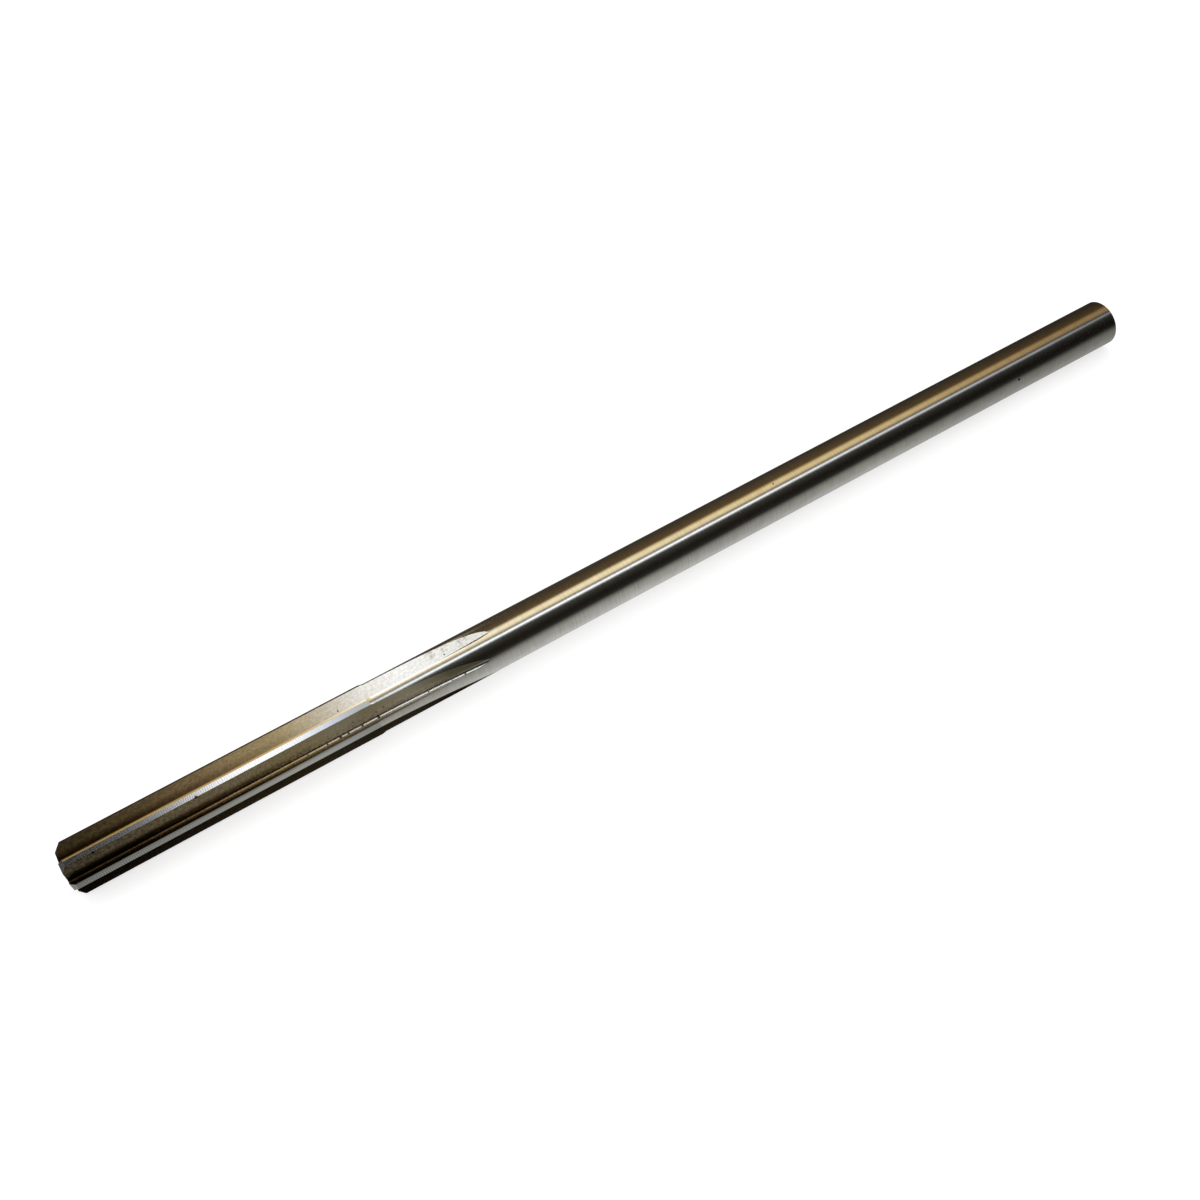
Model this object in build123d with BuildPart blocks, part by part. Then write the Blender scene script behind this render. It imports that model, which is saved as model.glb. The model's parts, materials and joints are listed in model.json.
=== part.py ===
from build123d import *
from math import acos, cos, degrees, radians, sin, tan
import os

# Bushing reamer: one bar of hardened high-speed steel, ground all over.
# It lies along X: the cutting end faces -X, the shank's end faces +X, and Z is up.
# The origin is the centre of the cutting end's face, and lengths along the tool start there.

# Whole tool
overall_length = 152.4
shank_diameter = 6.31
cutting_diameter = 6.53

# Cutting end
cutting_length = 37.4
shoulder_length = 0.55
lead_length = 0.62
lead_angle = 45
lead_relief_angle = 12

# Teeth. The gaps between cutting edges are uneven, so that the tool doesn't chatter.
# They repeat after half a turn, so that each edge has another straight across from it.
# The tool rests on its shank, with the lowest two edges clear of the ground on either side.
tooth_gaps = (64, 57, 59)
last_edge_angle = 46
land_angle = 15
margin_angle = 4.4
heel_drop = 0.05

# Flutes, ground with a wheel that leaves the bar on its own arc. The straight part of each
# flute ends a little sooner or later than its neighbours', in the order of the gaps above.
web_radius = 2.2
flute_fillet = 0.35
full_depth_lengths = (37.0, 36.1, 36.7)
wheel_radius = 150

# Shank's end, and the centre hole in each end
shank_chamfer = 0.2
centre_pilot_diameter = 1.0
centre_mouth_diameter = 2.0
centre_depth = 2.6
centre_angle = 60

# Sizes that follow from the ones above
shank_radius = shank_diameter / 2
cutting_radius = cutting_diameter / 2
heel_radius = cutting_radius - heel_drop
lead_radius = cutting_radius - lead_length * tan(radians(lead_angle))

# Cutters reach this far past the metal that they take away
overrun = 1.0
outside_radius = cutting_radius + overrun

# The wheel has left the bar once it has swung through this angle
run_out_angle = degrees(acos(1 - (outside_radius - web_radius) / wheel_radius))

os.makedirs("parts", exist_ok=True)

with BuildPart() as bushing_reamer:
    # Turned bar: cutting diameter, a small shoulder that eases down, thinner shank with a broken edge
    with BuildSketch(Plane.XZ):
        with BuildLine():
            Polyline(
                (0, 0),
                (0, cutting_radius),
                (cutting_length, cutting_radius),
                (cutting_length + shoulder_length, shank_radius),
                (overall_length - shank_chamfer, shank_radius),
                (overall_length, shank_radius - shank_chamfer),
                (overall_length, 0),
                close=True,
            )
        make_face()
    revolve(axis=Axis.X)

    # Centre holes, between which the tool was ground
    cutting_end_face = Plane(origin=(0, 0, 0), x_dir=(0, 1, 0), z_dir=(-1, 0, 0))
    shank_end_face = Plane(origin=(overall_length, 0, 0), x_dir=(0, 1, 0), z_dir=(1, 0, 0))
    with Locations(cutting_end_face, shank_end_face):
        CounterSinkHole(
            radius=centre_pilot_diameter / 2,
            counter_sink_radius=centre_mouth_diameter / 2,
            depth=centre_depth,
            counter_sink_angle=centre_angle,
        )

    # Teeth, one after another round the bar
    edge_angle = last_edge_angle
    for tooth_gap, full_depth_length in zip(tooth_gaps * 2, full_depth_lengths * 2):
        edge_angle += tooth_gap
        to_edge = Vector(0, cos(radians(edge_angle)), sin(radians(edge_angle)))
        to_heel = Vector(0, -sin(radians(edge_angle)), cos(radians(edge_angle)))

        # Flute before this edge: a radial rake face, a root fillet and the flat back
        # of the tooth before. The sketch has X towards the edge and Y towards the heel.
        flute_angle = radians(tooth_gap - land_angle)
        root = Vector(web_radius, 0)
        heel_before = Vector(heel_radius * cos(flute_angle), -heel_radius * sin(flute_angle))
        past_heel_before = heel_before + (heel_before - root).normalized() * overrun
        flute_end = Plane(origin=(full_depth_length, 0, 0), x_dir=to_edge, z_dir=(1, 0, 0))
        with BuildSketch(flute_end) as flute:
            with BuildLine():
                Polyline(
                    (root.X, root.Y),
                    (outside_radius, 0),
                    (outside_radius, past_heel_before.Y),
                    (past_heel_before.X, past_heel_before.Y),
                    close=True,
                )
            make_face()
            fillet(flute.vertices().sort_by_distance(root)[0], flute_fillet)
        extrude(amount=-full_depth_length - overrun, mode=Mode.SUBTRACT)

        # Run-out: the flute's outline swings about the wheel's centre
        wheel_centre = Vector(full_depth_length, 0, 0) + to_edge * (web_radius + wheel_radius)
        revolve(
            flute.sketch,
            axis=Axis(wheel_centre, to_heel),
            revolution_arc=run_out_angle,
            mode=Mode.SUBTRACT,
        )

        # Relief: behind a narrow round margin, the land falls away in one flat to the heel
        margin_end = Vector(cutting_radius, 0).rotate(Axis.Z, margin_angle)
        heel = Vector(heel_radius, 0).rotate(Axis.Z, land_angle)
        past_heel = heel + (heel - margin_end) * 0.2
        with BuildSketch(Plane(origin=(-overrun, 0, 0), x_dir=to_edge, z_dir=(1, 0, 0))):
            with BuildLine():
                Polyline(
                    (margin_end.X, margin_end.Y),
                    (outside_radius, margin_end.Y),
                    (outside_radius, past_heel.Y),
                    (past_heel.X, past_heel.Y),
                    close=True,
                )
            make_face()
        extrude(amount=overrun + cutting_length + shoulder_length, mode=Mode.SUBTRACT)

        # Lead: the 45 degree cutting edge, backed off flat towards the heel
        lead_start = to_edge * lead_radius
        lead_normal = (
            Vector(-1, 0, 0)
            + to_edge / tan(radians(lead_angle))
            + to_heel * tan(radians(lead_relief_angle))
        )
        with BuildSketch(Plane(origin=lead_start, x_dir=to_heel, z_dir=lead_normal)):
            Rectangle(cutting_diameter, cutting_diameter)
        extrude(amount=overrun, mode=Mode.SUBTRACT)

bushing_reamer.part.label = "bushing_reamer"
export_step(bushing_reamer.part, "parts/bushing_reamer.step")
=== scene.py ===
# %% [markdown]
# # A bushing reamer
#
# A bushing reamer is one bar of hardened high-speed steel. Six straight teeth are ground into one end,
# and the rest is a plain round shank. This lesson gives the imported model its finish. The metal is
# bright, so most of what the eye sees is a reflection: the work is a clean surface, true grinding marks
# on it, and a studio that is worth reflecting.
#
# The frame below is the imported model, in metres; the tool's length is read from its box below.

import json
from math import acos, cos, pi, radians, sin, sqrt, tan

import bpy
from mathutils import Matrix, Quaternion, Vector


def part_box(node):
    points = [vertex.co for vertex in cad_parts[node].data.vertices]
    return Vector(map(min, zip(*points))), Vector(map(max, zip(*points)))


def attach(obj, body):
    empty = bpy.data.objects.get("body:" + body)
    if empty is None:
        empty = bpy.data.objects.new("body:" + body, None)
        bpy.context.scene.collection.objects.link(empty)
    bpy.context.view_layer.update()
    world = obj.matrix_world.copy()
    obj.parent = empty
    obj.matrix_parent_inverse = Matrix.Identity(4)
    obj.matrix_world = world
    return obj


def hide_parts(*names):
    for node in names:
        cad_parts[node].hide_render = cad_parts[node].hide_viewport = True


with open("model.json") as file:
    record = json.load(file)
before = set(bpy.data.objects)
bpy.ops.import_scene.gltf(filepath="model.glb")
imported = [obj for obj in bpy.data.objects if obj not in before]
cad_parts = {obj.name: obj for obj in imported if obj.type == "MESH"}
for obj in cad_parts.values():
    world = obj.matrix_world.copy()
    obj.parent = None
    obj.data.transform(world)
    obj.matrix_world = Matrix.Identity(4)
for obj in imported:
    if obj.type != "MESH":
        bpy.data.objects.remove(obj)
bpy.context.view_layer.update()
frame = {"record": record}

# %% [markdown]
# ## Sizes
#
# The tool lies along X, with the centre of its cutting end at the origin. We model in millimetres,
# because Blender's tools merge and cut more safely on numbers near one than on thousandths of a metre,
# and bring the finished piece to metres in one last step. The main sizes come from the frame's own
# record of what the tool is gripped by and what it cuts.

# %% Main sizes, in millimetres
MM = 0.001
mounts = {mount["name"]: mount for mount in frame["record"]["mounts"]}
SHANK_RADIUS = mounts["shank"]["dims"]["r_mm"]
CUTTING_RADIUS = mounts["cutting_diameter"]["dims"]["r_mm"]
CUTTING_LENGTH = mounts["cutting_diameter"]["dims"]["length_mm"]
TOOL_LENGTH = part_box("bushing_reamer")[1][0] / MM
SHANK_CHAMFER = 0.2
SHOULDER_END = TOOL_LENGTH - SHANK_CHAMFER - mounts["shank"]["dims"]["length_mm"]
print(f"shank {2 * SHANK_RADIUS:.2f} mm, cutting end {2 * CUTTING_RADIUS:.2f} mm")
print(f"length {TOOL_LENGTH:.1f} mm, of which {SHOULDER_END:.2f} mm is cutting end and shoulder")

# %% [markdown]
# ## The camera
#
# The photograph was taken from close by, about 150 mm from the tool and 45 degrees above the ground, so
# that the near end looks larger than the far one. The camera's place was worked out from the outline
# of the bar. It looks at a point just below the bar and is rolled, which puts the bar on the picture's
# diagonal. A constraint could aim it, but it would leave no room for the roll, so we turn the
# direction itself into a rotation.

# %% The camera
CAMERA_PLACE = Vector((31.785, -101.769, 105.385)) * MM
LOOKS_AT = Vector((68.863, -0.295, -1.672)) * MM
CAMERA_ROLL = radians(-13.67)
LENS = 36.18
SENSOR_WIDTH = 36
NEAREST_SEEN = 5 * MM

camera_data = bpy.data.cameras.new("camera")
camera_data.lens = LENS
camera_data.sensor_width = SENSOR_WIDTH
camera_data.clip_start = NEAREST_SEEN
camera = bpy.data.objects.new("camera", camera_data)
bpy.context.scene.collection.objects.link(camera)
camera.location = CAMERA_PLACE
aim = (LOOKS_AT - CAMERA_PLACE).to_track_quat("-Z", "Y")
camera.rotation_mode = "QUATERNION"
camera.rotation_quaternion = aim @ Quaternion((0, 0, 1), CAMERA_ROLL)
bpy.context.scene.camera = camera
print(f"the camera is {(LOOKS_AT - CAMERA_PLACE).length / MM:.0f} mm from what it looks at")

# %% [markdown]
# ## The bar
#
# The bar was turned in a lathe. A cylinder primitive would do for the shank, but the shoulder, the
# broken edge and the holes in the ends would each need work of their own. A turned bar is a half
# outline swung once round its axis, so we draw that outline point by point, as a turner reads it off a
# drawing, and spin it. It starts at the bottom of the centre hole in one end and finishes at the bottom
# of the hole in the other. Each hole has a 60 degree mouth, where the grinding machine's centre sat,
# and a thinner pilot. The spin has one face for each degree. Steps that small disappear once the faces
# are smooth-shaded, even in a mirror.


# %% Draw and spin
def start_drawing(name, first_point):
    """Begins a piece with one point, in edit mode."""
    bpy.ops.object.select_all(action="DESELECT")
    bpy.ops.mesh.primitive_plane_add(size=0.1)
    piece = bpy.context.object
    piece.name = piece.data.name = name
    bpy.ops.object.mode_set(mode="EDIT")
    bpy.ops.mesh.merge(type="CENTER")
    bpy.ops.mesh.select_all(action="SELECT")
    bpy.ops.transform.translate(value=first_point)
    return piece


def draw_to(points, start):
    """Draws straight lines from the last point through these."""
    here = Vector(start)
    for point in points:
        bpy.ops.mesh.extrude_vertices_move(TRANSFORM_OT_translate={"value": Vector(point) - here})
        here = Vector(point)


def stop_drawing():
    """Turns all faces outwards and leaves edit mode."""
    bpy.ops.mesh.select_all(action="SELECT")
    bpy.ops.mesh.normals_make_consistent(inside=False)
    bpy.ops.object.mode_set(mode="OBJECT")


CENTRE_MOUTH_RADIUS = 1.0
CENTRE_PILOT_RADIUS = 0.5
CENTRE_DEPTH = 2.6
CENTRE_ANGLE = 60
MOUTH_DEPTH = (CENTRE_MOUTH_RADIUS - CENTRE_PILOT_RADIUS) / tan(radians(CENTRE_ANGLE / 2))
BAR_FACES = 360
SAME_POINT = 0.001

outline = [
    (CENTRE_DEPTH, 0),
    (CENTRE_DEPTH, CENTRE_PILOT_RADIUS),
    (MOUTH_DEPTH, CENTRE_PILOT_RADIUS),
    (0, CENTRE_MOUTH_RADIUS),
    (0, CUTTING_RADIUS),
    (CUTTING_LENGTH, CUTTING_RADIUS),
    (SHOULDER_END, SHANK_RADIUS),
    (TOOL_LENGTH - SHANK_CHAMFER, SHANK_RADIUS),
    (TOOL_LENGTH, SHANK_RADIUS - SHANK_CHAMFER),
    (TOOL_LENGTH, CENTRE_MOUTH_RADIUS),
    (TOOL_LENGTH - MOUTH_DEPTH, CENTRE_PILOT_RADIUS),
    (TOOL_LENGTH - CENTRE_DEPTH, CENTRE_PILOT_RADIUS),
    (TOOL_LENGTH - CENTRE_DEPTH, 0),
]
half_outline = [(x, 0, radius) for x, radius in outline]
reamer = start_drawing("ground_reamer", half_outline[0])
draw_to(half_outline[1:], half_outline[0])
bpy.ops.mesh.select_all(action="SELECT")
bpy.ops.mesh.spin(steps=BAR_FACES, angle=2 * pi, center=(0, 0, 0), axis=(1, 0, 0))
bpy.ops.mesh.select_all(action="SELECT")
bpy.ops.mesh.remove_doubles(threshold=SAME_POINT)
stop_drawing()
print("the bar has", len(reamer.data.polygons), "faces")

# %% [markdown]
# ## Six uneven teeth
#
# The cutting edges stand at uneven angles, so that the teeth never find a rhythm and chatter. The same
# three gaps come round twice, so that each edge has another straight across from it and the tool can
# be measured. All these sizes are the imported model's own. Angles round the bar start at +Y and grow
# towards +Z.

# %% Sizes of the teeth and flutes, in millimetres and degrees
TOOTH_GAPS = (64, 57, 59)
LAST_EDGE_ANGLE = 46
EDGE_ANGLES = [LAST_EDGE_ANGLE + sum((TOOTH_GAPS * 2)[: number + 1]) for number in range(6)]
LAND_ANGLE = 15
HEEL_DROP = 0.05
HEEL_RADIUS = CUTTING_RADIUS - HEEL_DROP
WEB_RADIUS = 2.2
FLUTE_FILLET = 0.35
FULL_DEPTH_LENGTHS = (37.0, 36.1, 36.7)
WHEEL_RADIUS = 150

# Cutters reach this far past the metal that they take away
OVERRUN = 1.0
OUTSIDE_RADIUS = CUTTING_RADIUS + OVERRUN

# The wheel has left the bar once it has swung through this angle, in radians
RUN_OUT_ANGLE = acos(1 - (OUTSIDE_RADIUS - WEB_RADIUS) / WHEEL_RADIUS)
print("the cutting edges stand at", [angle % 360 for angle in EDGE_ANGLES], "degrees")

# %% [markdown]
# ## The flutes
#
# A flute is cut by a grinding wheel that passes along the bar. Its outline is a straight face in front of
# the cutting edge, a small round at the root, and the flat back of the tooth before. Flutes could be
# pushed into the bar's own faces by hand, but their pointed, leaf-shaped ends on the shank would be
# guesswork. So we model what the wheel sweeps through: we draw the outline once for each of the three
# gaps between teeth, push it along the straight part, and swing it about the wheel's own centre where
# the wheel leaves the bar. Cut away from the bar, that swing gives the ends their true curve.
#
# In these drawings the cutting edge points up, along Z, and the heel lies towards -Y.

# %% Flute cutters
FILLET_STEPS = 24
RUN_OUT_STEPS = 96


def behind_edge(radius, angle):
    """A point of a tooth's cross-section at this angle behind its edge, as how far to edge and heel."""
    return Vector((radius * cos(radians(angle)), radius * sin(radians(angle))))


def section_point(x, to_edge, to_heel):
    """That point in space, with the cutting edge along Z."""
    return Vector((x, -to_heel, to_edge))


def push_along(length):
    """Fills the drawn outline and pushes it along the bar."""
    bpy.ops.mesh.select_all(action="SELECT")
    bpy.ops.mesh.edge_face_add()
    bpy.ops.mesh.extrude_region_move(TRANSFORM_OT_translate={"value": (length, 0, 0)})


def flute_cutter(gap, full_depth_length):
    root = Vector((WEB_RADIUS, 0))
    heel_before = behind_edge(HEEL_RADIUS, LAND_ANGLE - gap)
    along_rake = Vector((1, 0))
    along_back = (heel_before - root).normalized()
    past_heel = heel_before + along_back * OVERRUN
    half_corner = along_rake.angle(along_back) / 2
    to_tangent = FLUTE_FILLET / tan(half_corner)
    middle = root + (along_rake + along_back).normalized() * FLUTE_FILLET / sin(half_corner)
    back_tangent = section_point(-OVERRUN, *(root + along_back * to_tangent))
    rake_tangent = section_point(-OVERRUN, *(root + along_rake * to_tangent))

    cutter = start_drawing(f"flute_cutter_{gap}", back_tangent)
    bpy.ops.mesh.spin(
        steps=FILLET_STEPS,
        angle=pi - 2 * half_corner,
        center=section_point(-OVERRUN, *middle),
        axis=(1, 0, 0),
    )
    corners = [(OUTSIDE_RADIUS, 0), (OUTSIDE_RADIUS, past_heel.y), tuple(past_heel)]
    draw_to([section_point(-OVERRUN, *corner) for corner in corners], rake_tangent)
    push_along(OVERRUN + full_depth_length)
    bpy.ops.mesh.spin(
        steps=RUN_OUT_STEPS,
        angle=RUN_OUT_ANGLE,
        center=section_point(full_depth_length, WEB_RADIUS + WHEEL_RADIUS, 0),
        axis=(0, 1, 0),
    )
    stop_drawing()
    return cutter


cutter_for_gap = {g: flute_cutter(g, length) for g, length in zip(TOOTH_GAPS, FULL_DEPTH_LENGTHS)}
for gap, cutter in cutter_for_gap.items():
    print(f"the cutter for a gap of {gap} degrees ends {cutter.bound_box[6][0]:.1f} mm from the cutting end")

# %% [markdown]
# ## Relief and lead
#
# Behind each cutting edge the land keeps a narrow round margin, which guides the tool in its hole. The
# rest of the land falls away in one flat, so that it can't rub. At the very end a 45 degree lead does
# the cutting, and it is ground back towards the heel for the same reason. Bevels on the bar's own
# edges would come out the same all round, and these cuts don't. Both are flat, so a wedge and a block
# are enough.

# %% Relief wedge and lead block
MARGIN_ANGLE = 4.4
LEAD_LENGTH = 0.62
LEAD_RADIUS = CUTTING_RADIUS - LEAD_LENGTH
LEAD_RELIEF_ANGLE = 12
PAST_HEEL_SHARE = 0.2


def relief_cutter():
    margin_end = behind_edge(CUTTING_RADIUS, MARGIN_ANGLE)
    heel = behind_edge(HEEL_RADIUS, LAND_ANGLE)
    past_heel = heel + (heel - margin_end) * PAST_HEEL_SHARE
    corners = [
        tuple(margin_end),
        (OUTSIDE_RADIUS, margin_end.y),
        (OUTSIDE_RADIUS, past_heel.y),
        tuple(past_heel),
    ]
    wedge = [section_point(-OVERRUN, *corner) for corner in corners]
    cutter = start_drawing("relief_cutter", wedge[0])
    draw_to(wedge[1:], wedge[0])
    push_along(OVERRUN + SHOULDER_END)
    stop_drawing()
    return cutter


def lead_cutter():
    bpy.ops.object.select_all(action="DESELECT")
    bpy.ops.mesh.primitive_cube_add(size=1)
    cutter = bpy.context.object
    cutter.name = cutter.data.name = "lead_cutter"
    bpy.ops.object.mode_set(mode="EDIT")
    bpy.ops.mesh.select_all(action="SELECT")
    bpy.ops.transform.resize(value=(2 * CUTTING_RADIUS, 2 * CUTTING_RADIUS, OVERRUN))
    bpy.ops.transform.translate(value=(0, 0, OVERRUN / 2))
    bpy.ops.object.mode_set(mode="OBJECT")
    facing = Vector((-1, -tan(radians(LEAD_RELIEF_ANGLE)), 1)).normalized()
    across = Vector((0, -1, 0))
    across = (across - facing * across.dot(facing)).normalized()
    turned = Matrix((across, facing.cross(across), facing)).transposed()
    cutter.matrix_world = Matrix.Translation((0, 0, LEAD_RADIUS)) @ turned.to_4x4()
    bpy.ops.object.transform_apply(location=True, rotation=True, scale=True)
    return cutter


relief = relief_cutter()
lead = lead_cutter()
print("the relief wedge has", len(relief.data.polygons), "faces, the lead block", len(lead.data.polygons))

# %% [markdown]
# ## Colours and nodes
#
# Colours are written as the hex values that a screen shows, and one function turns them into the linear
# values that the renderer works with. A second function adds one node with its settings and its links,
# so that each material below reads from top to bottom like a recipe. In its calls, names in small
# letters are settings of the node, such as operation, and names with a capital are its inputs, such
# as Roughness. Where several inputs share a name, as the two colours of a Mix node do, they are called
# by their number: _6 is its first colour and _7 the second.


# %% Helpers for materials
def linear(hex_colour):
    """A colour written as rrggbb, as linear red, green, blue and a full alpha."""
    parts = [int(hex_colour[i : i + 2], 16) / 255 for i in (0, 2, 4)]
    return [p / 12.92 if p <= 0.04045 else ((p + 0.055) / 1.055) ** 2.4 for p in parts] + [1.0]


def new_material(name):
    material = bpy.data.materials.new(name)
    material.use_nodes = True
    material.node_tree.nodes.clear()
    return material


def add(material, kind, **given):
    """Adds one node. An input takes a value, an output, or a node, which stands for its first output."""
    node = material.node_tree.nodes.new("ShaderNode" + kind)
    for name, value in given.items():
        if name[0].islower():
            setattr(node, name, value)
            continue
        socket = node.inputs[int(name[1:]) if name[0] == "_" else name.replace("_", " ")]
        if isinstance(value, bpy.types.Node):
            value = next(output for output in value.outputs if output.enabled)
        if isinstance(value, bpy.types.NodeSocket):
            material.node_tree.links.new(value, socket)
        else:
            socket.default_value = value
    return node


# %% [markdown]
# ## Ground steel
#
# All of this tool but its ends was left by a grinding wheel, and each wheel leaves its own marks. The
# shank was turned under a wheel, so its marks are rings. The flutes and reliefs were cut by a wheel that
# ran along the bar. Real marks are a few hundredths of a millimetre wide, far finer than a pixel here,
# so they are drawn about five times coarser, at the finest size that the picture can hold.
#
# Oil has dried on the tool too. It is a brown film that is thick at the cutting end and thins out towards
# the shank, with a few darker spots and nicks. Images could hold all this, but they would need seams
# and a map of the surface. Patterns that are worked out from the place on the tool need neither. The
# helpers below are each made of several nodes, and keep those recipes short.

# %% Helpers for patterns
# Two ways for a Mix node to lay its second colour over the first
MULTIPLIED = {"data_type": "RGBA", "blend_type": "MULTIPLY"}
COVERED = {"data_type": "RGBA", "blend_type": "MIX"}


def own_place(material):
    """The object's own coordinates, whole and as x, y and z."""
    place = add(material, "TexCoord").outputs["Object"]
    return place, *add(material, "SeparateXYZ", Vector=place).outputs


def coloured(material, value, stops, unit=1.0):
    """A colour for each value. A stop is a place, in the value's own unit, and a hex colour."""
    low, high = stops[0][0], stops[-1][0]
    share = add(material, "MapRange", Value=value, From_Min=low * unit, From_Max=high * unit)
    ramp = add(material, "ValToRGB", Fac=share)
    elements = ramp.color_ramp.elements
    while len(elements) > 1:
        elements.remove(elements[-1])
    elements[0].position, elements[0].color = 0.0, linear(stops[0][1])
    for at, colour in stops[1:]:
        elements.new((at - low) / (high - low)).color = linear(colour)
    return ramp


def spots(material, place, marks, softness=0.5):
    """1 inside the marks and 0 outside them. Each mark is a point and a radius, in millimetres."""
    inside = 0.0
    for point, radius in marks:
        away = add(material, "VectorMath", operation="DISTANCE", _0=place, _1=point * MM)
        full_from = radius * (1 - softness)
        here = add(material, "MapRange", Value=away, From_Min=radius * MM, From_Max=full_from * MM)
        inside = add(material, "Math", operation="MAXIMUM", _0=inside, _1=here)
    return inside


# %% [markdown]
# ## Where the marks are
#
# The nicks and spots sit at known places, so we name them by the flute that they are in, how far they are
# along the tool, and how far down the flute's back they are: 0 is at the heel and 1 at the root. The
# nicks that cross the front flute's bright root line sit low on its rake face, at one height. Placed
# this way, each mark in a flute stays on its face even if the teeth are moved round.


# %% Nicks, pits and stains
def on_bar(x, angle, radius):
    return Vector((x, radius * cos(radians(angle)), radius * sin(radians(angle))))


def run_out_rise(number, x):
    """How far the wheel has lifted out of the bar here."""
    beyond = max(x - FULL_DEPTH_LENGTHS[number % 3], 0)
    return WHEEL_RADIUS - sqrt(WHEEL_RADIUS**2 - beyond**2)


def on_flute(number, x, share):
    edge = EDGE_ANGLES[number]
    heel = on_bar(x, edge - TOOTH_GAPS[number % 3] + LAND_ANGLE, HEEL_RADIUS)
    return heel.lerp(on_bar(x, edge, WEB_RADIUS), share) + on_bar(0, edge, run_out_rise(number, x))


def on_rake(number, x, height):
    return on_bar(x, EDGE_ANGLES[number], WEB_RADIUS + run_out_rise(number, x) + height)


UPPER_FLUTE, FRONT_FLUTE = 0, 1
NICK_HEIGHT = 0.14
ROOT_NICKS = [
    (on_rake(FRONT_FLUTE, x, NICK_HEIGHT), radius)
    for x, radius in (
        (28.7, 0.16),
        (31.2, 0.18),
        (32.9, 0.24),
        (33.9, 0.2),
        (35.7, 0.22),
        (37.8, 0.26),
        (44.3, 0.16),
        (47.4, 0.14),
        (49.1, 0.2),
    )
]
FLUTE_PITS = [
    (on_flute(FRONT_FLUTE, 3.8, 0.06), 0.24),
    (on_flute(FRONT_FLUTE, 15.9, 0.0), 0.22),
    (on_flute(FRONT_FLUTE, 37.8, 0.62), 0.13),
    (on_flute(FRONT_FLUTE, 38.8, 0.55), 0.11),
    (on_flute(FRONT_FLUTE, 34.9, 0.5), 0.12),
    (on_flute(UPPER_FLUTE, 34.0, 0.66), 0.14),
    (on_flute(UPPER_FLUTE, 48.0, 0.72), 0.13),
]
LEAF_STAINS = [
    (on_flute(UPPER_FLUTE, 46.6, 0.34), 0.9),
    (on_flute(UPPER_FLUTE, 47.3, 0.15), 0.9),
    (on_flute(UPPER_FLUTE, 48.3, 0.4), 0.8),
    (on_flute(UPPER_FLUTE, 50.3, 0.6), 0.7),
    (on_flute(UPPER_FLUTE, 51.0, 0.42), 0.8),
]
SHANK_PITS = [(on_bar(134.6, 167.3, SHANK_RADIUS), 0.24), (on_bar(95.35, 108.4, SHANK_RADIUS), 0.14)]
PIT_COLOUR = linear("2a241d")
print(len(ROOT_NICKS) + len(FLUTE_PITS) + len(SHANK_PITS), "nicks and pits,", len(LEAF_STAINS), "stains")

# %% [markdown]
# ## Finish of the shank
#
# A shank like this is ground between centres: the bar turns slowly and a fine wheel turns fast against it.
# That leaves rings round the bar, so the pattern changes along X alone. It tints the steel and roughens it by
# a little, which gives the eye the faint ribbing across the bright reflections. A soft haze of oil lies over
# the rings. The round margins of the teeth were ground in the same way and share this finish. Towards the
# cutting end they are tinted gold, a painted reflection of the gold reflector overhead, which is left off a
# narrow band low on the camera's side.

# %% Cylindrically ground steel
RING_SIZE = 0.25
HAZE_SIZE = 1.4
# Painted gold reflection on the margins: full up to 140 degrees round the axis, none from 150, with its
# colour along X
GOLD_PAINTED_UP_TO, NO_GOLD_FROM = radians(140), radians(150)
RING_TINTS = [(0.3, "cac9c6"), (0.7, "d3d2d0")]
HAZE_TINTS = [(0.35, "eceae6"), (0.65, "ffffff")]
PAINTED_GOLD_REFLECTION = [
    (0, "ffe6b8"),
    (6, "f6d8a6"),
    (13, "e6c896"),
    (20, "dcc399"),
    (30, "e3cfab"),
    (37.2, "e9dac0"),
    (37.9, "ffffff"),
    (40, "ffffff"),
]


def ringed_steel(name):
    # A fine wheel's finish: a nearly clean mirror, with rings that are drawn coarser than the real ones
    steel = new_material(name)
    place, x, y, z = own_place(steel)
    rings = add(steel, "TexNoise", noise_dimensions="1D", W=x, Scale=1 / (RING_SIZE * MM), Detail=3.0)
    haze = add(steel, "TexNoise", Vector=place, Scale=1 / (HAZE_SIZE * MM), Detail=3.0)
    ring_tint = coloured(steel, rings, RING_TINTS)
    tint = add(steel, "Mix", **MULTIPLIED, Factor=0.5, _6=ring_tint, _7=coloured(steel, haze, HAZE_TINTS))

    # Painted reflection: the margins turn gold towards the cutting end, except on the band low on the
    # camera's side
    round_axis = add(steel, "Math", operation="ARCTAN2", _0=z, _1=y)
    gold_reflection_share = add(steel, "MapRange", Value=round_axis, From_Min=NO_GOLD_FROM, From_Max=GOLD_PAINTED_UP_TO)
    gold = coloured(steel, x, PAINTED_GOLD_REFLECTION, MM)
    tint = add(steel, "Mix", **MULTIPLIED, Factor=gold_reflection_share, _6=tint, _7=gold)

    pitted = spots(steel, place, SHANK_PITS)
    tint = add(steel, "Mix", **COVERED, Factor=pitted, _6=tint, _7=PIT_COLOUR)
    rough = add(steel, "MapRange", Value=rings, From_Min=0.3, From_Max=0.7, To_Min=0.135, To_Max=0.145)
    shader = add(steel, "BsdfPrincipled", Base_Color=tint, Metallic=1.0, Roughness=rough)
    add(steel, "OutputMaterial", Surface=shader)
    return steel


shank_finish = ringed_steel("cylindrically_ground_steel")
print("the shank's finish has", len(shank_finish.node_tree.nodes), "nodes")
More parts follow.
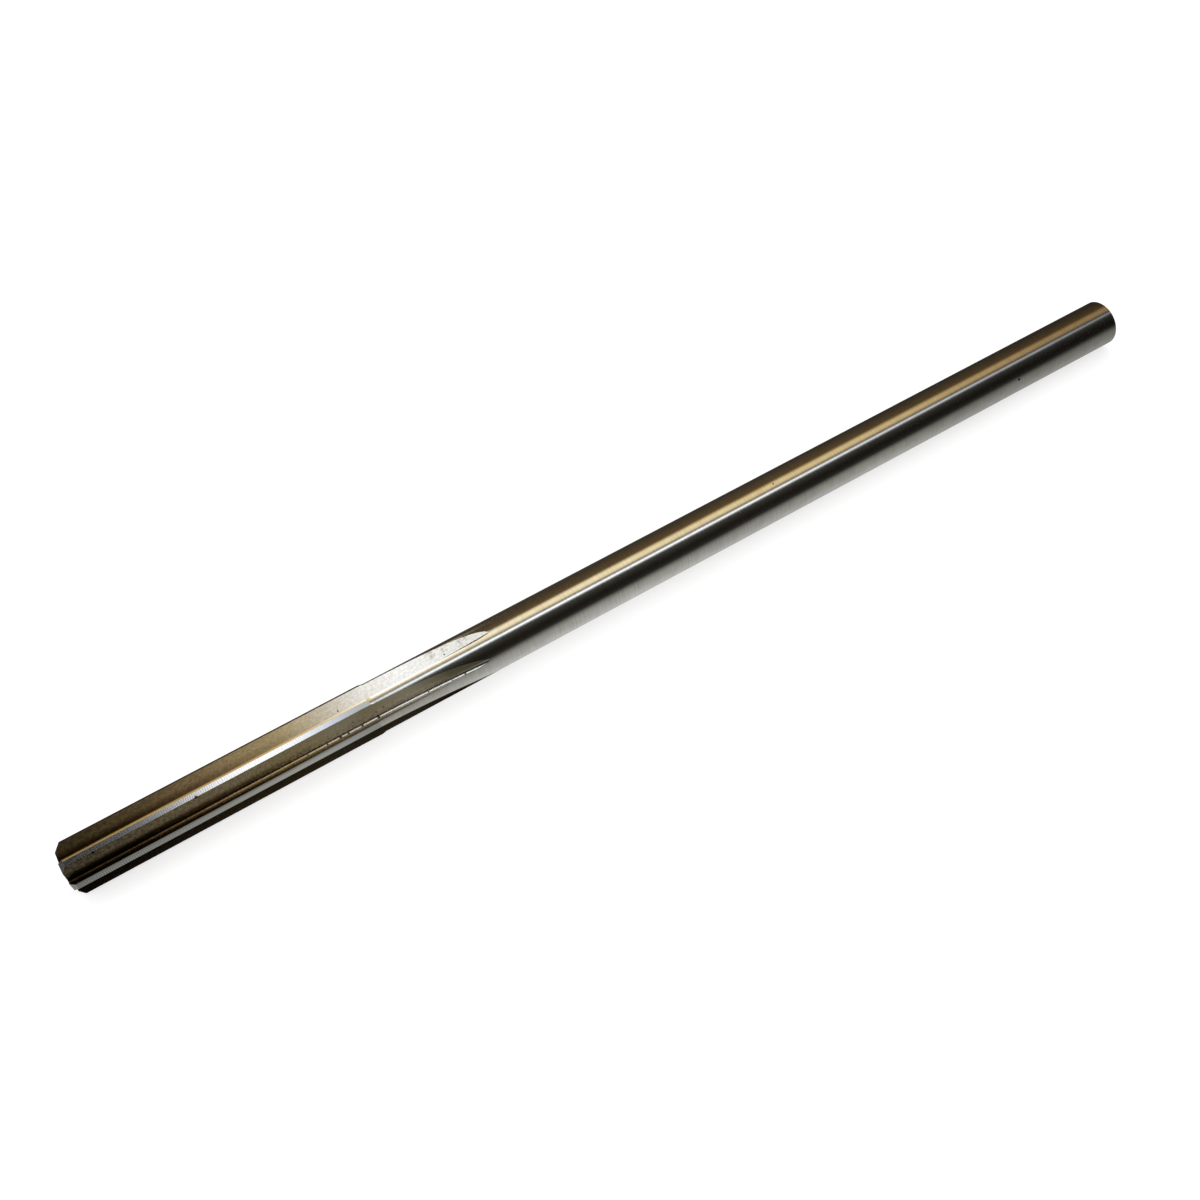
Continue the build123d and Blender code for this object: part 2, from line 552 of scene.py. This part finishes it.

# %% [markdown]
# ## Oil, dirt and painted shade in the flutes
#
# The film of oil is thickest in the flutes. Towards the cutting end it is brown and grainy; near the shank
# only its last traces are left, and the steel is almost white. Each root is darkened by a painted brown
# shade, strongest towards the cutting end. One tint for it all would look like paint, so it is laid down in
# layers: the film with its mottle, the painted shade in the roots, flecks, stains and caked dirt. Each layer
# has a short function. The film's gives its colour, and the others give how much of their brown is on the
# steel. The front flute and the flutes underneath get painted shade too, a darker and browner film; the angle
# round the axis tells them apart.

# %% Layers of oil and dirt
FLECK_SIZE = 0.26
STAIN_SIZE = 0.45
MOTTLE_TINTS = [(0.36, "8a795f"), (0.48, "c0b8a3"), (0.58, "eee9dc"), (0.68, "ffffff")]
FILM_ALONG = [
    (0, "958b77"),
    (7, "a2967f"),
    (13, "b4a288"),
    (20, "bfae90"),
    (26.5, "b8aa88"),
    (33, "bab4a8"),
    (36.5, "c3c1bc"),
    (42, "dadadc"),
    (51, "d3d5d5"),
]
# Painted shade for the front flute and the flutes underneath: its colour along X, darkest near the
# leaf-shaped ends
FLUTE_SHADE_ALONG = [
    (22, "ffffff"),
    (30, "fff7e1"),
    (33, "f9f3e5"),
    (36.4, "dcceae"),
    (42.5, "d6ccb2"),
    (47.5, "8e866c"),
    (52, "867e64"),
]
# Where the painted shade falls round the axis, in degrees: white on the front flute's back and the flutes
# underneath
SHADED_FLUTE_ANGLES = [
    (-180, "ffffff"),
    (-12, "ffffff"),
    (-6, "000000"),
    (113, "000000"),
    (118, "ffffff"),
    (157, "ffffff"),
    (162, "000000"),
    (168, "000000"),
    (172, "ffffff"),
    (180, "ffffff"),
]


def oil_film_and_shade(steel, x, clouds, shaded_flutes):
    """The film's colour with its mottle, which fades towards the shank, and painted shade on the shaded
    flutes.
    """
    film = coloured(steel, x, FILM_ALONG, MM)
    mottle = coloured(steel, clouds, MOTTLE_TINTS)
    thick = add(steel, "MapRange", Value=x, From_Min=4 * MM, From_Max=36 * MM, To_Min=0.75, To_Max=0.1)
    tint = add(steel, "Mix", **MULTIPLIED, Factor=thick, _6=film, _7=mottle)
    # Painted shade: darker and browner on the shaded flutes
    flute_shade = coloured(steel, x, FLUTE_SHADE_ALONG, MM)
    return add(steel, "Mix", **MULTIPLIED, Factor=shaded_flutes, _6=tint, _7=flute_shade)


def painted_root_shade(steel, x, across):
    """Painted shade: brown in every root, stronger towards the cutting end."""
    from_axis = add(steel, "VectorMath", operation="LENGTH", _0=across)
    at_root = add(steel, "MapRange", Value=from_axis, From_Min=2.62 * MM, From_Max=2.3 * MM)
    dark_end = add(steel, "MapRange", Value=x, From_Min=32 * MM, From_Max=8 * MM)
    return add(steel, "Math", operation="MULTIPLY", _0=at_root, _1=dark_end)


def oil_flecks(steel, place, x):
    """Flecks, fainter towards the shank."""
    fleck_noise = add(steel, "TexNoise", Vector=place, Scale=1 / (FLECK_SIZE * MM), Detail=1.0)
    flecks = add(steel, "MapRange", Value=fleck_noise, From_Min=0.70, From_Max=0.76)
    shown = add(steel, "MapRange", Value=x, From_Min=30 * MM, From_Max=42 * MM, To_Min=0.4, To_Max=0.12)
    return add(steel, "Math", operation="MULTIPLY", _0=flecks, _1=shown)


def leaf_stains(steel, place):
    """Patchy stains on the leaf-shaped end of the upper flute."""
    patches = add(steel, "TexNoise", Vector=place, Scale=1 / (STAIN_SIZE * MM), Detail=4.0)
    patches = add(steel, "MapRange", Value=patches, From_Min=0.4, From_Max=0.66, To_Max=0.75)
    in_stains = spots(steel, place, LEAF_STAINS, 0.9)
    return add(steel, "Math", operation="MULTIPLY", _0=in_stains, _1=patches)


def caked_dirt(steel, x, across, clouds, shaded_flutes):
    """Dirt caked beside the front flute's root, on both sides of the shoulder."""
    front_root = on_flute(FRONT_FLUTE, 0, 1.0) * MM
    from_root = add(steel, "VectorMath", operation="DISTANCE", _0=across, _1=front_root)
    dirty = add(steel, "MapRange", Value=from_root, From_Min=1.1 * MM, From_Max=0.6 * MM)
    off_the_root = add(steel, "MapRange", Value=from_root, From_Min=0.18 * MM, From_Max=0.32 * MM)
    begins = add(steel, "MapRange", Value=x, From_Min=22 * MM, From_Max=32 * MM)
    ends = add(steel, "MapRange", Value=x, From_Min=50 * MM, From_Max=44 * MM)
    caked = add(steel, "MapRange", Value=clouds, From_Min=0.35, From_Max=0.6, To_Min=0.3, To_Max=0.75)
    for share in (off_the_root, shaded_flutes, begins, ends, caked):
        dirty = add(steel, "Math", operation="MULTIPLY", _0=dirty, _1=share)
    return dirty


# %% [markdown]
# ## Finish of the flutes
#
# The flutes are as ground, by a coarser wheel, so the steel under the oil is satin. The grain is in the
# colour, and fine scratches along the flute are in the relief of the surface. The layers come one after
# another, and the dark nicks last. The caked dirt is dull, so it covers the metal as well as
# tinting it.

# %% Wheel-ground flutes under an oil film
CLOUD_SIZE = 0.28
CLOUD_STRETCH = (0.8, 1, 1)
SCRATCH_SIZE = 0.3
SCRATCH_STRETCH = (0.03, 1, 1)
SCRATCH_HEIGHT = 0.003


def flute_steel(name):
    # A coarse wheel's finish under dried oil: satin, brown and mottled, with painted shade on some flutes
    steel = new_material(name)
    place, x, y, z = own_place(steel)
    across = add(steel, "CombineXYZ", X=0.0, Y=y, Z=z)
    cloud_place = add(steel, "Mapping", Vector=place, Scale=CLOUD_STRETCH)
    clouds = add(steel, "TexNoise", Vector=cloud_place, Scale=1 / (CLOUD_SIZE * MM), Detail=3.0)

    # Painted shade: the front flute, off its rake face, and the flutes underneath are darker and browner
    round_axis = add(steel, "Math", operation="ARCTAN2", _0=z, _1=y)
    shaded_flutes = coloured(steel, round_axis, SHADED_FLUTE_ANGLES, radians(1))

    tint = oil_film_and_shade(steel, x, clouds, shaded_flutes)
    browns = [
        # The first brown is painted shade in the roots; the flecks and stains are real
        (painted_root_shade(steel, x, across), "7d6a50"),
        (oil_flecks(steel, place, x), "6b543d"),
        (leaf_stains(steel, place), "a08b72"),
    ]
    for share, brown in browns:
        tint = add(steel, "Mix", **MULTIPLIED, Factor=share, _6=tint, _7=linear(brown))
    dirty = caked_dirt(steel, x, across, clouds, shaded_flutes)
    tint = add(steel, "Mix", **COVERED, Factor=dirty, _6=tint, _7=linear("8c7656"))
    bare_metal = add(steel, "Math", operation="SUBTRACT", _0=1.0, _1=dirty)
    nicked = spots(steel, place, ROOT_NICKS + FLUTE_PITS)
    tint = add(steel, "Mix", **COVERED, Factor=nicked, _6=tint, _7=PIT_COLOUR)

    # Scratches along the flute, drawn coarser than the real ones
    scratch_place = add(steel, "Mapping", Vector=place, Scale=SCRATCH_STRETCH)
    scratches = add(steel, "TexNoise", Vector=scratch_place, Scale=1 / (SCRATCH_SIZE * MM), Detail=2.0)
    height = add(steel, "Bump", Strength=0.5, Distance=SCRATCH_HEIGHT * MM, Height=scratches)
    rough = add(steel, "MapRange", Value=clouds, From_Min=0.35, From_Max=0.65, To_Min=0.26, To_Max=0.225)
    shader = add(
        steel, "BsdfPrincipled", Base_Color=tint, Metallic=bare_metal, Roughness=rough, Normal=height
    )
    add(steel, "OutputMaterial", Surface=shader)
    return steel


flute_finish = flute_steel("wheel_ground_flutes")
print("the flutes' finish has", len(flute_finish.node_tree.nodes), "nodes")

# %% [markdown]
# ## Finish of the reliefs
#
# The flats behind the cutting edges were ground by the edge of a cup wheel, which crosses the land. Its
# marks are short lines across the tooth, and they show best near the cutting end, where the light
# is low. Near the shoulder the steel has a faint blue cast. Noise would make the lines too uneven, so a
# wave texture with a little distortion draws them, about five times coarser than the real ones.

# %% Backed-off relief
HATCH_SPACING = 0.26
WAVE_SPACING_AT_SCALE_1 = pi / 10
HATCH_TINTS = [(0.1, "9ba3b6"), (0.7, "ffffff")]
RELIEF_ALONG = [(0, "cecdcb"), (28, "cecdcb"), (33, "c2c3c9"), (36.4, "b1b2b0"), (38, "b1b2b0")]


def relief_steel(name):
    # A cup wheel's finish: bright, with lines across the land that catch the light
    steel = new_material(name)
    place, x, y, z = own_place(steel)
    wave = add(
        steel,
        "TexWave",
        wave_type="BANDS",
        bands_direction="X",
        Vector=place,
        Scale=WAVE_SPACING_AT_SCALE_1 / (HATCH_SPACING * MM),
        Distortion=4.0,
        Detail=2.0,
        Detail_Scale=1.5,
    )
    lines = wave.outputs["Fac"]
    hatch = coloured(steel, lines, HATCH_TINTS)
    near_end = add(steel, "MapRange", Value=x, From_Min=10 * MM, From_Max=20 * MM, To_Min=0.6, To_Max=0.03)
    along = coloured(steel, x, RELIEF_ALONG, MM)
    tint = add(steel, "Mix", **MULTIPLIED, Factor=near_end, _6=along, _7=hatch)
    nicked = spots(steel, place, FLUTE_PITS)
    tint = add(steel, "Mix", **COVERED, Factor=nicked, _6=tint, _7=PIT_COLOUR)
    rough = add(steel, "MapRange", Value=lines, To_Min=0.21, To_Max=0.15)
    shader = add(steel, "BsdfPrincipled", Base_Color=tint, Metallic=1.0, Roughness=rough)
    add(steel, "OutputMaterial", Surface=shader)
    return steel


relief_finish = relief_steel("backed_off_relief")
print("the reliefs' finish has", len(relief_finish.node_tree.nodes), "nodes")

# %% [markdown]
# ## Finish of the ends
#
# The ends were faced in a lathe before the bar was hardened, and nobody ground them afterwards, so they
# keep the dull grey of hardening. Their fine circles run round the centre hole. The distance from the
# axis gives circles at any size, so a one-way noise of it does for both ends and for the holes.

# %% Faced ends
CIRCLE_SIZE = 0.22
CIRCLE_HEIGHT = 0.01
CIRCLE_TINTS = [(0.3, "66625b"), (0.7, "8f8b84")]
SEEN_FROM_END = 0.3


def faced_steel(name):
    # A lathe tool's finish, hardened: grey and satin, with circles that shimmer as the light turns
    steel = new_material(name)
    place, x, y, z = own_place(steel)
    across = add(steel, "CombineXYZ", X=0.0, Y=y, Z=z)
    from_axis = add(steel, "VectorMath", operation="LENGTH", _0=across)
    scale = 1 / (CIRCLE_SIZE * MM)
    circles = add(steel, "TexNoise", noise_dimensions="1D", W=from_axis, Scale=scale, Detail=2.0)
    tint = coloured(steel, circles, CIRCLE_TINTS)
    height = add(steel, "Bump", Strength=0.6, Distance=CIRCLE_HEIGHT * MM, Height=circles)
    rough = add(steel, "MapRange", Value=circles, From_Min=0.3, From_Max=0.7, To_Min=0.42, To_Max=0.34)
    shader = add(steel, "BsdfPrincipled", Base_Color=tint, Metallic=1.0, Roughness=rough, Normal=height)
    add(steel, "OutputMaterial", Surface=shader)
    return steel


def faces_an_end(face):
    """True for an end face and for the mouth and bottom of its centre hole, but not for the chamfer."""
    return abs(face.normal.x) > SEEN_FROM_END and face.center.yz.length < SHANK_RADIUS - SHANK_CHAMFER


reamer.data.materials.append(shank_finish)
reamer.data.materials.append(faced_steel("faced_ends"))
end_faces = [face for face in reamer.data.polygons if faces_an_end(face)]
for face in end_faces:
    face.material_index = 1
print(len(end_faces), "faces at the two ends and in their centre holes")
for cutter in cutter_for_gap.values():
    cutter.data.materials.append(flute_finish)
relief.data.materials.append(relief_finish)
lead.data.materials.append(relief_finish)

# %% [markdown]
# ## Six of each, then the cuts
#
# An array could only space the cutters evenly, and these teeth are uneven. So each cutter is copied to
# its angle, the six copies are joined into one, and one boolean takes them all away from the bar. The
# faces that a cut leaves behind take the cutter's own material, so the flutes and the reliefs can each
# have the finish of the wheel that made them.


# %% Turn copies to their angles and cut
def select_only(*pieces):
    """Selects these pieces and nothing else, and makes the first one active."""
    bpy.ops.object.select_all(action="DESELECT")
    for piece in pieces:
        piece.select_set(True)
    bpy.context.view_layer.objects.active = pieces[0]


def turned_copy(piece, edge_angle):
    copy = piece.copy()
    copy.data = piece.data.copy()
    bpy.context.scene.collection.objects.link(copy)
    copy.rotation_euler.x = radians(edge_angle - 90)
    return copy


def join(pieces):
    select_only(*pieces)
    bpy.ops.object.transform_apply(location=True, rotation=True, scale=True)
    bpy.ops.object.join()
    return pieces[0]


def cut_away(cutter):
    select_only(reamer)
    cut = reamer.modifiers.new("cut", "BOOLEAN")
    cut.operation = "DIFFERENCE"
    cut.solver = "EXACT"
    cut.material_mode = "TRANSFER"
    cut.object = cutter
    bpy.ops.object.modifier_apply(modifier=cut.name)
    bpy.data.objects.remove(cutter)


flute_cutters = [turned_copy(cutter_for_gap[g], a) for g, a in zip(TOOTH_GAPS * 2, EDGE_ANGLES)]
cut_away(join(flute_cutters))
cut_away(join([turned_copy(relief, angle) for angle in EDGE_ANGLES]))
cut_away(join([turned_copy(lead, angle) for angle in EDGE_ANGLES]))
for spare in [*cutter_for_gap.values(), relief, lead]:
    bpy.data.objects.remove(spare)
print("the cut bar has", len(reamer.data.polygons), "faces")

# %% [markdown]
# ## Into the frame
#
# The piece comes to metres, takes the imported node's place and gets its smooth shading. Faces that meet at
# less than four degrees are shaded as one surface. Every true edge of the tool is sharper than that,
# even the slim line where a flute runs out of the shank, so no edge has to be marked by hand.

# %% Scale, shade and attach to the root
SMOOTH_BELOW = radians(4)
select_only(reamer)
reamer.scale = (MM, MM, MM)
bpy.ops.object.transform_apply(location=True, rotation=True, scale=True)
bpy.ops.object.shade_smooth_by_angle(angle=SMOOTH_BELOW)
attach(reamer, "root")
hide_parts("bushing_reamer")
print("the finished piece measures", [round(size / MM, 3) for size in reamer.dimensions], "mm")

# %% [markdown]
# ## The floor
#
# The photograph has a plain white ground with hardly a shadow on it. A shadow catcher would need the
# picture to be composed afterwards. A white floor under a white sky gives the same look at once: the
# sky lights it evenly from all sides, and only the strip next to the tool is a little darker. The
# camera alone sees a touch of added white, which lifts the floor to the colour of paper and puts no
# more light on the tool. The studio is big and simple, so from here on places are in metres, and only
# the stops of the colour ramps stay in millimetres or degrees.

# %% Floor and sky
FLOOR_Z = -SHANK_RADIUS * MM
FLOOR_SIZE = 6
FLOOR_MIDDLE = 0.07
PAPER_GLOW = 0.62

bpy.ops.object.select_all(action="DESELECT")
bpy.ops.mesh.primitive_plane_add(size=FLOOR_SIZE, location=(FLOOR_MIDDLE, 0, FLOOR_Z))
floor = bpy.context.object
floor.name = "floor"
bpy.ops.object.transform_apply(location=True, rotation=True, scale=True)

white_paper = new_material("white_paper")
camera_sees_it = add(white_paper, "LightPath").outputs["Is Camera Ray"]
paper = add(white_paper, "BsdfDiffuse", Color=linear("c0c0c0"))
for_camera = add(white_paper, "Math", operation="MULTIPLY", _0=camera_sees_it, _1=PAPER_GLOW)
glow = add(white_paper, "Emission", Strength=for_camera)
both = add(white_paper, "AddShader", _0=paper, _1=glow)
add(white_paper, "OutputMaterial", Surface=both)
floor.data.materials.append(white_paper)

world = bpy.data.worlds.new("white_sky")
bpy.context.scene.world = world
world.use_nodes = True
world.node_tree.nodes["Background"].inputs["Color"].default_value = (1, 1, 1, 1)
world.node_tree.nodes["Background"].inputs["Strength"].default_value = 1.0
bpy.context.scene.view_settings.view_transform = "Standard"
print(f"the floor is {FLOOR_Z / MM:.3f} mm from the axis")

# %% [markdown]
# ## What the metal sees
#
# A polished rod is a strip mirror of the room round it. The rod in the photograph shows, from its top
# edge down: a brown room behind, a golden reflector above, a soft white strip lamp, a black room on the
# camera's side, and the pale ground under it. An image of a studio wrapped round the scene could give
# that too, but we read no images, and the near ground has to be near. So we hang the same things round
# the tool: a half-round tent, narrower arcs inside it, and a colour sheet on the floor for the lower
# half. Only reflections see these lights, so they neither shade the floor nor show in the picture.
#
# An arc's colours change with the angle from straight overhead and along X. Along X the rod is as
# straight as a flat mirror, and the tent is further from it than the camera is. So the reflections
# squeeze the tent to less than a third of its length, and the ramps along X reach far past both ends
# of the tool.

# %% Helpers for the arcs of light
TENT_RADIUS = 0.4
CORNER_SLANT = 9


def only_reflected(piece):
    piece.visible_camera = piece.visible_diffuse = piece.visible_shadow = False
    piece.visible_transmission = piece.visible_volume_scatter = False


def light_arc(name, radius, angles, reach, steps):
    """Part of a half-round tent. Angles are degrees from overhead, and grow towards the camera's side."""
    low_angle, high_angle = angles
    x_from, x_to = reach
    start = radians(high_angle)
    near_end = Vector((x_from, -radius * sin(start), FLOOR_Z + radius * cos(start)))
    arc = start_drawing(name, near_end)
    draw_to([near_end + Vector((x_to - x_from, 0, 0))], near_end)
    bpy.ops.mesh.select_all(action="SELECT")
    turn = radians(high_angle - low_angle)
    bpy.ops.mesh.spin(steps=steps, angle=turn, center=(0, 0, FLOOR_Z), axis=(1, 0, 0))
    bpy.ops.object.mode_set(mode="OBJECT")
    only_reflected(arc)
    return arc


def light_by_place(name, strength, see_through=True, sampling="NONE", **stops_for):
    """A light with one colour ramp for each of the places that are given, all multiplied.

    The places are angle, in degrees from overhead, x and y, in millimetres, and corner, which is x
    moved by CORNER_SLANT millimetres for each degree, so that a light can be cut off askew. A
    see-through light lets what hangs behind it show where its own colour is dark.
    """
    light = new_material(name)
    place, x, y, z = own_place(light)
    forward = add(light, "Math", operation="MULTIPLY", _0=y, _1=-1.0)
    height = add(light, "Math", operation="SUBTRACT", _0=z, _1=FLOOR_Z)
    angle = add(light, "Math", operation="ARCTAN2", _0=forward, _1=height)
    slant = CORNER_SLANT * MM / radians(1)
    corner = add(light, "Math", operation="MULTIPLY_ADD", _0=angle, _1=slant, _2=x)
    value_and_unit = {"angle": (angle, radians(1)), "x": (x, MM), "y": (y, MM), "corner": (corner, MM)}

    colour = linear("ffffff")
    for name_of_place, stops in stops_for.items():
        value, unit = value_and_unit[name_of_place]
        ramp = coloured(light, value, stops, unit)
        colour = add(light, "Mix", **MULTIPLIED, Factor=1.0, _6=colour, _7=ramp)
    surface = add(light, "Emission", Color=colour, Strength=strength)
    if see_through:
        clear = add(light, "BsdfTransparent", Color=add(light, "Invert", Color=colour))
        surface = add(light, "AddShader", _0=surface, _1=clear)
    add(light, "OutputMaterial", Surface=surface)
    light.cycles.emission_sampling = sampling
    return light


# %% [markdown]
# ## The room
#
# The widest arc is the tent's wall, the room itself: brown behind the tool and overhead, and nearly
# black on the camera's side. Past the cutting end it is darker. Further off, where the photograph's
# view doesn't reach, it is bright again, so that the tool looks like steel from behind too. The wall,
# the gold, the strip and the sheet have the colours that the eye meets on the steel, so their strength
# makes up for what the steel swallows.

# %% Tent wall
STEEL_BRIGHTNESS = 0.62
LIGHT_STRENGTH = 1 / STEEL_BRIGHTNESS
WALL_ACROSS = [
    (-90, "37312a"),
    (-62, "43392a"),
    (-36, "52422b"),
    (-24, "574832"),
    (0, "4e4537"),
    (10, "4a4238"),
    (26, "464540"),
    (36, "3b3b38"),
    (44, "2f2d29"),
    (62, "1e1b17"),
    (74, "1b1916"),
    (82, "1f1e1b"),
    (90, "282825"),
]
WALL_ALONG = [
    (-300, "ffffff"),
    (-180, "7f7f7f"),
    (-61, "7f7f7f"),
    (-38, "bcbcbc"),
    (-13, "d8d8d8"),
    (20, "ffffff"),
    (250, "ffffff"),
    (480, "c4c4c4"),
]
wall = light_arc("tent_wall", TENT_RADIUS, angles=(-90, 90), reach=(-1.6, 0.95), steps=90)
wall_light = light_by_place("tent_wall", LIGHT_STRENGTH, see_through=False, angle=WALL_ACROSS, x=WALL_ALONG)
wall.data.materials.append(wall_light)
print(f"the tent is {wall.dimensions.x:.2f} m long")

# %% [markdown]
# ## The gold reflector
#
# The warm band along the top of the shank is a gold reflector overhead. It hangs one layer inside the
# wall and fades towards the shank's end. Its corner behind the cutting end is cut off askew.

# %% Gold reflector
LAYER = 0.01
GOLD_STRENGTH = 1.06 * LIGHT_STRENGTH
GOLD_ACROSS = [
    (-26, "000000"),
    (-20, "8a7350"),
    (-15, "cdb98c"),
    (-9, "e8d9b3"),
    (-5, "ecdeb8"),
    (-1, "ecdfb9"),
    (4, "e0d1ab"),
    (8, "c9b994"),
    (12, "7d7264"),
    (16, "000000"),
]
GOLD_ALONG = [
    (-150, "ffffff"),
    (155, "ffffff"),
    (193, "f8f7f4"),
    (254, "e4dcc8"),
    (334, "cdc2ab"),
    (391, "a5947c"),
    (450, "88785f"),
    (480, "806e5b"),
]
GOLD_CORNER = [
    (-125, "000000"),
    (-105, "464646"),
    (-85, "7c7c7c"),
    (-61, "aaaaaa"),
    (-35, "cecece"),
    (10, "ffffff"),
]
gold = light_arc("gold_reflector", TENT_RADIUS - LAYER, angles=(-26, 16), reach=(-0.6, 1.0), steps=21)
gold_light = light_by_place(
    "gold_reflector", GOLD_STRENGTH, angle=GOLD_ACROSS, x=GOLD_ALONG, corner=GOLD_CORNER
)
gold.data.materials.append(gold_light)
print("the gold spans", GOLD_ACROSS[0][0], "to", GOLD_ACROSS[-1][0], "degrees from overhead")

# %% [markdown]
# ## The strip lamp
#
# The white line along the rod is a soft strip lamp, on the camera's side of the gold. It is dimmer where
# the photograph's line is: at the cutting end, at the shoulder and towards the shank's end.

# %% Strip lamp
STRIP_STRENGTH = 2.5 * LIGHT_STRENGTH
STRIP_ACROSS = [(15, "000000"), (19.5, "a4a6a8"), (24, "f8fbff"), (27.5, "a4a6a8"), (32, "000000")]
STRIP_ALONG = [
    (-90, "0d0d0d"),
    (-61, "0f0f0f"),
    (-45, "282828"),
    (-36, "5a5a5a"),
    (-24, "a6a6a6"),
    (-13, "eeeeee"),
    (15, "f0f2f2"),
    (37, "8b9099"),
    (49, "6a7078"),
    (62, "c4c8c9"),
    (126, "cfd2d3"),
    (254, "c6c6c7"),
    (334, "9b9d9f"),
    (391, "7b7d7f"),
    (450, "56585b"),
    (480, "525457"),
]
strip = light_arc("strip_lamp", TENT_RADIUS - 2 * LAYER, angles=(15, 32), reach=(-0.5, 0.9), steps=10)
strip_light = light_by_place("strip_lamp", STRIP_STRENGTH, sampling="AUTO", angle=STRIP_ACROSS, x=STRIP_ALONG)
strip.data.materials.append(strip_light)
print("the strip spans", STRIP_ACROSS[0][0], "to", STRIP_ACROSS[-1][0], "degrees from overhead")

# %% [markdown]
# ## Two lamps for the flat faces
#
# Flat faces see only a small part of such a room each. Two more arcs are for them: a cool lamp overhead,
# which whitens the flutes near the shoulder, and a low, warm one behind the tool, which draws the
# bright line along the front flute's root.

# %% Top lamp and rake lamp
TOP_STRENGTH = 3.1
TOP_ACROSS = [(-24, "000000"), (-17, "ecf4ff"), (-2, "ecf4ff"), (5, "000000")]
TOP_ALONG = [
    (15, "000000"),
    (28, "505050"),
    (37, "a0a0a0"),
    (45, "dadada"),
    (55, "e4e4e4"),
    (80, "e4e4e4"),
    (105, "000000"),
]
top = light_arc("top_lamp", TENT_RADIUS - 3 * LAYER, angles=(-24, 5), reach=(0.01, 0.105), steps=10)
top_light = light_by_place("top_lamp", TOP_STRENGTH, sampling="AUTO", angle=TOP_ACROSS, x=TOP_ALONG)
top.data.materials.append(top_light)

RAKE_STRENGTH = 1.5
RAKE_ACROSS = [(-80, "000000"), (-75, "ffffff"), (-65, "ffffff"), (-60, "000000")]
RAKE_ALONG = [
    (28, "000000"),
    (49, "aa8655"),
    (72, "c8b47c"),
    (84, "fdeccb"),
    (91, "fdeccb"),
    (96, "000000"),
]
rake = light_arc("rake_lamp", TENT_RADIUS - 3 * LAYER, angles=(-80, -60), reach=(0.02, 0.096), steps=10)
rake_light = light_by_place("rake_lamp", RAKE_STRENGTH, angle=RAKE_ACROSS, x=RAKE_ALONG)
rake.data.materials.append(rake_light)
print("round the tool hang", [piece.name for piece in (wall, gold, strip, top, rake)])

# %% [markdown]
# ## The ground that the metal sees
#
# The tool mirrors the ground under it as well. The sheet on the floor is pale next to the tool and
# darkens a few centimetres in front of it and behind it, as a white strip between two black cards
# would. It lies just above the white floor, and like the arcs it shows in reflections alone. Its own
# angle from overhead would say little so close to the tool, so its ramps go by y and x.

# %% Sheet on the floor
SHEET_LIFT = 0.02 * MM
SHEET_MIDDLE = 0.3
SHEET_LENGTH = 8
SHEET_ACROSS = [
    (-211, "292926"),
    (-60, "383834"),
    (-23, "5a5a55"),
    (-12.5, "80807b"),
    (-8.4, "93938e"),
    (-6.2, "9b9b96"),
    (-4.7, "a5a4a2"),
    (-3.6, "b0afae"),
    (0, "b0b0ae"),
    (9, "b0b0ae"),
    (15, "3b352c"),
]
SHEET_ALONG = [
    (-10, "b8b8b8"),
    (0, "c4c4c4"),
    (13, "dcdcdc"),
    (20, "e0e0e0"),
    (33, "fbfbfb"),
    (75, "ffffff"),
    (91, "ededed"),
    (113, "e6e6e4"),
    (128, "cfcfcd"),
    (152, "bcbcba"),
]
bpy.ops.object.select_all(action="DESELECT")
bpy.ops.mesh.primitive_plane_add(size=1, location=(SHEET_MIDDLE, 0, FLOOR_Z + SHEET_LIFT))
floor_sheet = bpy.context.object
floor_sheet.name = "floor_sheet"
floor_sheet.scale = (SHEET_LENGTH, 2 * TENT_RADIUS, 1)
bpy.ops.object.transform_apply(location=True, rotation=True, scale=True)
only_reflected(floor_sheet)
sheet_light = light_by_place("sheet_light", LIGHT_STRENGTH, see_through=False, y=SHEET_ACROSS, x=SHEET_ALONG)
floor_sheet.data.materials.append(sheet_light)
print("the sheet on the floor measures", [round(size, 2) for size in floor_sheet.dimensions], "m")
